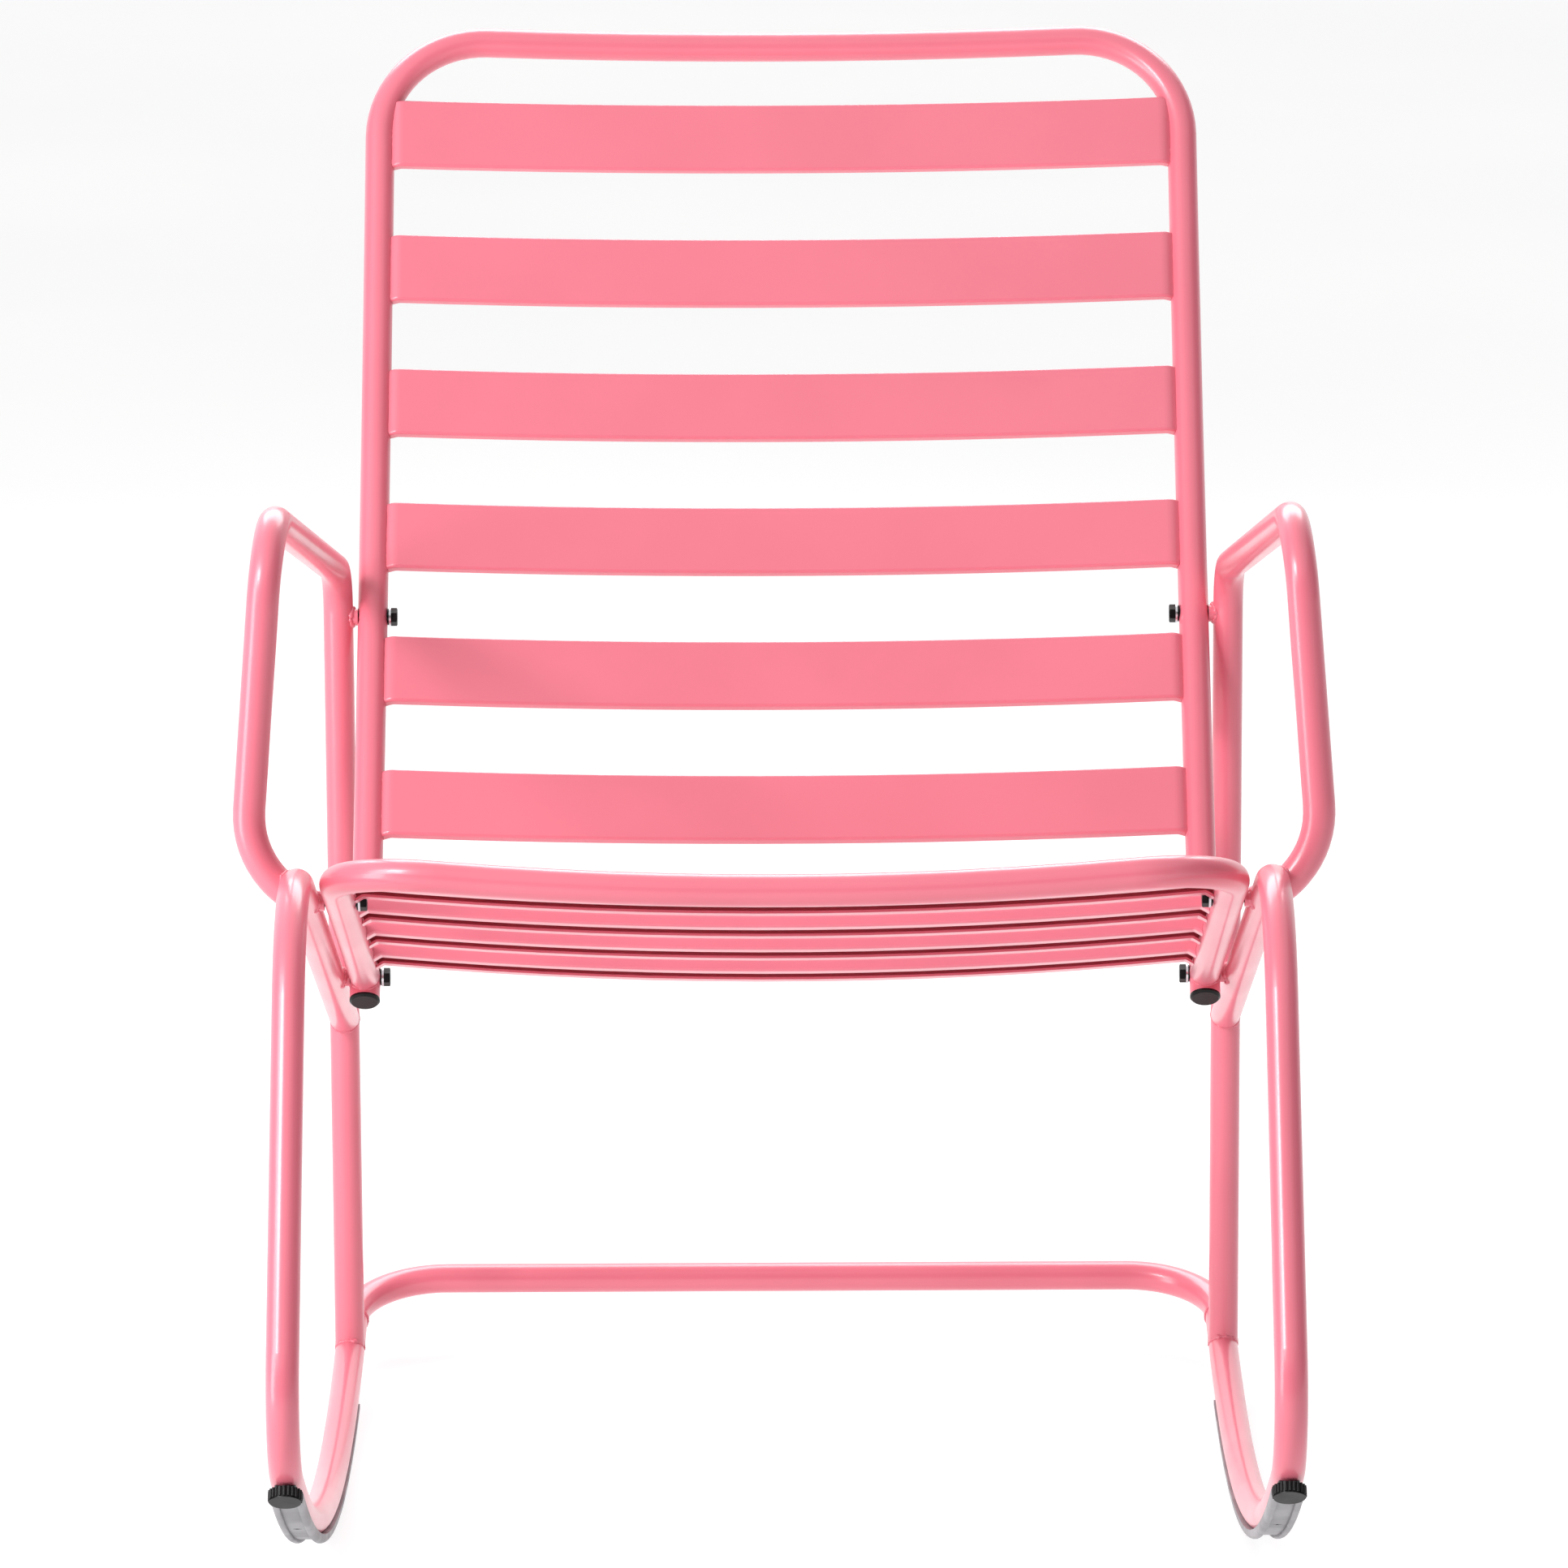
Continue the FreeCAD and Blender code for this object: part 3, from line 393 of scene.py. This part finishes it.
def seam_of_tubes(branch_point, branch_way, main_point, main_way, heft, steps=72):
    """Ring where a branch tube meets the side of a main tube of the same size: points and bead sizes."""
    way = branch_way.normalized()
    axis = main_way.normalized()
    side = way.cross(axis).normalized()
    upper = side.cross(way).normalized()
    ring = []
    for step in range(steps):
        angle = 2 * math.pi * step / steps
        outward = side * math.cos(angle) + upper * math.sin(angle)
        start = branch_point - main_point + outward * TUBE_R
        start_flat = start - axis * start.dot(axis)
        way_flat = way - axis * way.dot(axis)
        a = way_flat.dot(way_flat)
        b = start_flat.dot(way_flat)
        c = start_flat.dot(start_flat) - TUBE_R * TUBE_R
        inside = max(b * b - a * c, 0.0)
        along = (-b + math.sqrt(inside)) / a
        met = start + way * along
        met_flat = (met - axis * met.dot(axis)).normalized()
        hollow = min(max(1.0 - outward.dot(met_flat), 0.0), 1.0)
        ring.append((main_point + met, lumps(angle, heft) * (THIN_BEAD + (1 - THIN_BEAD) * hollow)))
    return ring


def boss_ring(point, tube_way, heft, steps=36):
    """Ring where a round boss enters the inner side of a base tube."""
    across = tube_way.cross(ACROSS).normalized()
    ring = []
    for step in range(steps):
        angle = 2 * math.pi * step / steps
        aside = math.sin(angle) * BOSS_R
        depth = math.sqrt(TUBE_R * TUBE_R - aside * aside)
        spot = point + tube_way * (math.cos(angle) * BOSS_R) + across * aside + ACROSS * (BASE_HALF - depth)
        ring.append((spot, lumps(angle, heft)))
    return ring


def tube_ring(point, way, steps=48):
    """Ring round a tube, where two tube ends are joined."""
    upper = way.cross(ACROSS).normalized()
    ring = []
    for step in range(steps):
        angle = 2 * math.pi * step / steps
        ring.append((point + (ACROSS * math.cos(angle) + upper * math.sin(angle)) * TUBE_R, 1.0))
    return ring


def frame_seams():
    """Closed seams of the right side's welded joints."""
    base = ACROSS * BASE_HALF
    seat = ACROSS * SEAT_HALF
    foot_way = rocker_backward(FOOT_ANGLE)
    curl_way = Vector((math.sin(ARM_CURL), 0, math.cos(ARM_CURL)))
    post = on_seat(ARM_POST_SETBACK) + base
    arm_end = post + Vector((ARM_END_X, 0, -ARM_END_DROP))
    return [
        seam_of_tubes(REAR_FOOT + base, REAR_LEG_UP, REAR_FOOT + base, foot_way, heft=1.0),
        seam_of_tubes(RAIL_END + base, -SEAT_BACKWARD, RAIL_END + base, REAR_LEG_UP, heft=0.7),
        seam_of_tubes(BACK_ROOT + seat, -SEAT_BACKWARD, BACK_ROOT + seat, back_up(0), heft=0.55),
        seam_of_tubes(arm_end, curl_way, post, SEAT_BACKWARD, heft=0.5),
        boss_ring(on_seat(FRONT_BOLT_SETBACK), SEAT_BACKWARD, BOSS_HEFT),
        boss_ring(BACK_ROOT, SEAT_BACKWARD, BOSS_HEFT),
        boss_ring(ARM_JOINT, REAR_LEG_UP, BOSS_HEFT),
    ]


def slat_tip(bow):
    """Where the underside of a slat's turned end meets the tube, seen along the slat's edges."""
    end_x = SEAT_HALF - TUBE_R - SLAT_END
    tilt = math.asin(end_x / bow)
    bend_x = end_x + SLAT_END_R * math.sin(tilt)
    bend_z = SLAT_RISE - SLAT_END_R * math.cos(tilt)
    inner = SLAT_END_R - SHEET
    x = bend_x + inner * math.sin(SLAT_END_BEND)
    z = bend_z + inner * math.cos(SLAT_END_BEND)
    step = 0.1 * MM
    while (SEAT_HALF - x) ** 2 + z ** 2 > TUBE_R ** 2:
        x += step * math.cos(SLAT_END_BEND)
        z -= step * math.sin(SLAT_END_BEND)
    return x, z


def slat_seams():
    """Open seams under the right ends of all slats."""
    seams = []
    for kind, sizes in (("seat", SEAT_SLATS), ("back", BACK_SLATS)):
        x, z = slat_tip(sizes["bow"])
        for number in range(sizes["count"]):
            distance = sizes["first"] + number * sizes["pitch"]
            if kind == "seat":
                middle, along, upward = on_seat(distance), SEAT_BACKWARD, SEAT_UPWARD
                corner = SEAT_DEPTH
            else:
                middle, along, upward = on_back(distance), back_up(distance), back_forward(distance)
                corner = BACK_HEIGHT - BACK_CORNER
            seam = []
            reach = sizes["width"] / 2 - SLAT_SEAM_MARGIN
            for step in range(SLAT_SEAM_STEPS + 1):
                aside = -reach + 2 * reach * step / SLAT_SEAM_STEPS
                past = max(distance + aside - corner, 0.0)
                inward = BACK_CORNER - math.sqrt(BACK_CORNER ** 2 - past ** 2)
                seam.append((middle + along * aside + upward * z + ACROSS * (x - inward), 1.0))
            seams.append(seam)
    return seams


def mirrored(seams):
    return [[(Vector((-point.x, point.y, point.z)), size) for point, size in seam] for seam in seams]


def at_rest(point):
    """A point of the chair as it stands empty: rolled back about the centre of the rockers."""
    centre = Vector((0, 0, ROCKER_R))
    return centre + Matrix.Rotation(-REST_LEAN, 3, "X") @ (point - centre)


def seam_object(name, closed_seams, open_seams):
    """Mesh of bare edges that the ripples follow, with the bead's size at each point."""
    points = []
    sizes = []
    edges = []
    for seam, closed in [(seam, True) for seam in closed_seams] + [(seam, False) for seam in open_seams]:
        first = len(points)
        points.extend(at_rest(point) for point, _ in seam)
        sizes.extend(size for _, size in seam)
        count = len(seam)
        edges.extend((first + i, first + i + 1) for i in range(count - 1))
        if closed:
            edges.append((first + count - 1, first))
    mesh = bpy.data.meshes.new(name)
    mesh.from_pydata(points, edges, [])
    mesh.attributes.new("bead_size", "FLOAT", "POINT").data.foreach_set("value", sizes)
    item = bpy.data.objects.new(name, mesh)
    bpy.context.scene.collection.objects.link(item)
    return item


def make_ripple_tree():
    """Geometry nodes: rounded ripples, a little uneven, one behind the other along each seam."""
    tree = bpy.data.node_groups.new("weld_ripples", "GeometryNodeTree")
    face = tree.interface
    face.new_socket("Seams", in_out="INPUT", socket_type="NodeSocketGeometry")
    for label, value in (("Ripple Radius", 0.002), ("Ripple Pitch", 0.0014), ("Unevenness", 0.18)):
        socket = face.new_socket(label, in_out="INPUT", socket_type="NodeSocketFloat")
        socket.default_value = value
    face.new_socket("Seed", in_out="INPUT", socket_type="NodeSocketInt").default_value = 3
    face.new_socket("Finish", in_out="INPUT", socket_type="NodeSocketMaterial")
    face.new_socket("Beads", in_out="OUTPUT", socket_type="NodeSocketGeometry")
    nodes = tree.nodes
    links = tree.links
    start = nodes.new("NodeGroupInput")
    end = nodes.new("NodeGroupOutput")
    curve = nodes.new("GeometryNodeMeshToCurve")
    spaced = nodes.new("GeometryNodeResampleCurve")
    spaced.mode = "LENGTH"
    tangent = nodes.new("GeometryNodeInputTangent")
    turn = nodes.new("FunctionNodeAlignRotationToVector")
    turn.axis = "X"
    ball = nodes.new("GeometryNodeMeshIcoSphere")
    ball.inputs["Subdivisions"].default_value = 2
    uneven = nodes.new("FunctionNodeRandomValue")
    uneven.data_type = "FLOAT_VECTOR"
    low = math_node(tree, "SUBTRACT", 1.0, start.outputs["Unevenness"])
    high = math_node(tree, "ADD", 1.0, start.outputs["Unevenness"])
    bead_size = nodes.new("GeometryNodeInputNamedAttribute")
    bead_size.data_type = "FLOAT"
    bead_size.inputs["Name"].default_value = "bead_size"
    sized = nodes.new("ShaderNodeVectorMath")
    sized.operation = "SCALE"
    place = nodes.new("GeometryNodeInstanceOnPoints")
    real = nodes.new("GeometryNodeRealizeInstances")
    smooth = nodes.new("GeometryNodeSetShadeSmooth")
    finish = nodes.new("GeometryNodeSetMaterial")
    links.new(start.outputs["Seams"], curve.inputs["Mesh"])
    links.new(curve.outputs["Curve"], spaced.inputs["Curve"])
    links.new(start.outputs["Ripple Pitch"], spaced.inputs["Length"])
    links.new(tangent.outputs["Tangent"], turn.inputs["Vector"])
    links.new(start.outputs["Ripple Radius"], ball.inputs["Radius"])
    links.new(low, uneven.inputs["Min"])
    links.new(high, uneven.inputs["Max"])
    links.new(start.outputs["Seed"], uneven.inputs["Seed"])
    links.new(spaced.outputs["Curve"], place.inputs["Points"])
    links.new(ball.outputs["Mesh"], place.inputs["Instance"])
    links.new(turn.outputs["Rotation"], place.inputs["Rotation"])
    links.new(uneven.outputs["Value"], sized.inputs["Vector"])
    links.new(bead_size.outputs["Attribute"], sized.inputs["Scale"])
    links.new(sized.outputs["Vector"], place.inputs["Scale"])
    links.new(place.outputs["Instances"], real.inputs["Geometry"])
    links.new(real.outputs["Geometry"], smooth.inputs["Geometry"])
    links.new(smooth.outputs["Geometry"], finish.inputs["Geometry"])
    links.new(start.outputs["Finish"], finish.inputs["Material"])
    links.new(finish.outputs["Geometry"], end.inputs["Beads"])
    return tree


RIPPLES = make_ripple_tree()


def weld_beads(name, closed_seams, open_seams, **values):
    """Lay beads on seams, make them a plain mesh and let them ride on the chair."""
    item = seam_object(f"{name}_seams", closed_seams, open_seams)
    layer = item.modifiers.new("ripples", "NODES")
    layer.node_group = RIPPLES
    for socket in RIPPLES.interface.items_tree:
        label = socket.name.replace(" ", "_")
        if socket.in_out == "INPUT" and label in values:
            layer[socket.identifier] = values[label]
    bpy.context.view_layer.update()
    shown = item.evaluated_get(bpy.context.evaluated_depsgraph_get())
    mesh = bpy.data.meshes.new_from_object(shown)
    bpy.data.objects.remove(item)
    beads = bpy.data.objects.new(name, mesh)
    bpy.context.scene.collection.objects.link(beads)
    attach(beads, "root")


def lay_welds():
    """Beads at the frame's joints, under the slats' ends and round the heels' butt joints."""
    joints = frame_seams()
    weld_beads("joint_welds", joints + mirrored(joints), [], Ripple_Radius=2.1 * MM, Ripple_Pitch=0.9 * MM,
               Unevenness=0.24, Seed=5, Finish=PINK)
    slats = slat_seams()
    weld_beads("slat_welds", [], slats + mirrored(slats), Ripple_Radius=1.5 * MM, Ripple_Pitch=1.3 * MM,
               Unevenness=0.22, Seed=8, Finish=PINK)
    butt = [tube_ring(on_rocker(HEEL_ANGLE) + ACROSS * BASE_HALF, rocker_backward(HEEL_ANGLE))]
    weld_beads("heel_welds", butt + mirrored(butt), [], Ripple_Radius=1.1 * MM, Ripple_Pitch=1.2 * MM,
               Unevenness=0.15, Seed=13, Finish=PINK)


# Studio

def studio_floor():
    """Wide pale floor that the chair stands on."""
    half = 30.0
    mesh = bpy.data.meshes.new("studio_floor")
    corners = [(-half, -half, 0), (half, -half, 0), (half, half, 0), (-half, half, 0)]
    mesh.from_pydata(corners, [], [(0, 1, 2, 3)])
    mesh.materials.append(studio_white())
    floor = bpy.data.objects.new("studio_floor", mesh)
    bpy.context.scene.collection.objects.link(floor)


def softbox(name, place, target, width, height, power):
    data = bpy.data.lights.new(name, "AREA")
    data.shape = "RECTANGLE"
    data.size = width
    data.size_y = height
    data.energy = power
    lamp = bpy.data.objects.new(name, data)
    lamp.location = place
    lamp.rotation_euler = (Vector(target) - Vector(place)).to_track_quat("-Z", "Y").to_euler()
    bpy.context.scene.collection.objects.link(lamp)


def overhead_bank(strength, spread):
    """Even soft light from a ceiling of lamps."""
    data = bpy.data.lights.new("overhead_bank", "SUN")
    data.energy = strength
    data.angle = math.radians(spread)
    slant = (math.radians(8), math.radians(-6), 0)
    lamp = bpy.data.objects.new("overhead_bank", data)
    lamp.location = (0, 0, 4)
    lamp.rotation_euler = slant
    bpy.context.scene.collection.objects.link(lamp)


def studio_air(strength, backdrop, mirrored_low, mirrored_high):
    """White surround: dim as light, bright where the camera or a glossy edge sees the backdrop behind."""
    fade_start = 0.1
    fade_end = 0.85
    world = bpy.data.worlds.new("studio_air")
    bpy.context.scene.world = world
    world.use_nodes = True
    tree = world.node_tree
    light = tree.nodes["Background"]
    light.inputs["Color"].default_value = (1, 1, 1, 1)
    light.inputs["Strength"].default_value = strength
    seen = tree.nodes.new("ShaderNodeBackground")
    seen.inputs["Color"].default_value = (1, 1, 1, 1)
    seen.inputs["Strength"].default_value = backdrop
    ray = tree.nodes.new("ShaderNodeLightPath")
    apart = tree.nodes.new("ShaderNodeSeparateXYZ")
    tree.links.new(tree.nodes.new("ShaderNodeTexCoord").outputs["Generated"], apart.inputs[0])
    behind = range_node(tree, apart.outputs["Y"], fade_start, fade_end, mirrored_low, mirrored_high)
    gloss = tree.nodes.new("ShaderNodeBackground")
    tree.links.new(behind, gloss.inputs["Strength"])
    lit_or_mirrored = tree.nodes.new("ShaderNodeMixShader")
    tree.links.new(ray.outputs["Is Glossy Ray"], lit_or_mirrored.inputs[0])
    tree.links.new(light.outputs[0], lit_or_mirrored.inputs[1])
    tree.links.new(gloss.outputs[0], lit_or_mirrored.inputs[2])
    choose = tree.nodes.new("ShaderNodeMixShader")
    tree.links.new(ray.outputs["Is Camera Ray"], choose.inputs[0])
    tree.links.new(lit_or_mirrored.outputs[0], choose.inputs[1])
    tree.links.new(seen.outputs[0], choose.inputs[2])
    tree.links.new(choose.outputs[0], tree.nodes["World Output"].inputs["Surface"])


def light_studio():
    """Tall soft key and a smaller lamp from the left, a weak fill, a bank behind and a ceiling of light."""
    seat = (0, 0, 0.5)
    back = (0, 0, 0.9)
    softbox("key_left", place=(-2.2, -1.35, 1.15), target=back, width=0.9, height=2.3, power=45)
    softbox("lamp_left", place=(-1.8, -1.8, 2.2), target=seat, width=0.7, height=0.7, power=40)
    softbox("fill_right", place=(2.3, -2.3, 1.2), target=seat, width=0.5, height=1.6, power=1.5)
    softbox("back_bank", place=(0, 1.9, 2.3), target=seat, width=3.0, height=1.4, power=66)
    overhead_bank(strength=1.32, spread=100)
    studio_air(strength=0.12, backdrop=0.97, mirrored_low=0.12, mirrored_high=1.6)


def place_camera():
    """Camera of the photograph: far off, at a standing height, looking slightly down."""
    image_width = 1932
    focal_pixels = 10586
    sensor = 36.0
    data = bpy.data.cameras.new("photo_camera")
    data.sensor_width = sensor
    data.lens = focal_pixels * sensor / image_width
    data.clip_end = 60
    camera = bpy.data.objects.new("photo_camera", data)
    place = (0, -5.2160, 1.5694)
    pitch = math.radians(12.24)
    roll = math.radians(-0.267)
    looking = Matrix.Rotation(math.pi / 2 - pitch, 4, "X") @ Matrix.Rotation(roll, 4, "Z")
    camera.matrix_world = Matrix.Translation(place) @ looking
    bpy.context.scene.collection.objects.link(camera)
    bpy.context.scene.camera = camera


def colour_as_seen():
    """Show colours as the camera saw them, with no film curve."""
    view = bpy.context.scene.view_settings
    view.view_transform = "Standard"


dress_nodes()
lay_welds()
studio_floor()
light_studio()
place_camera()
colour_as_seen()
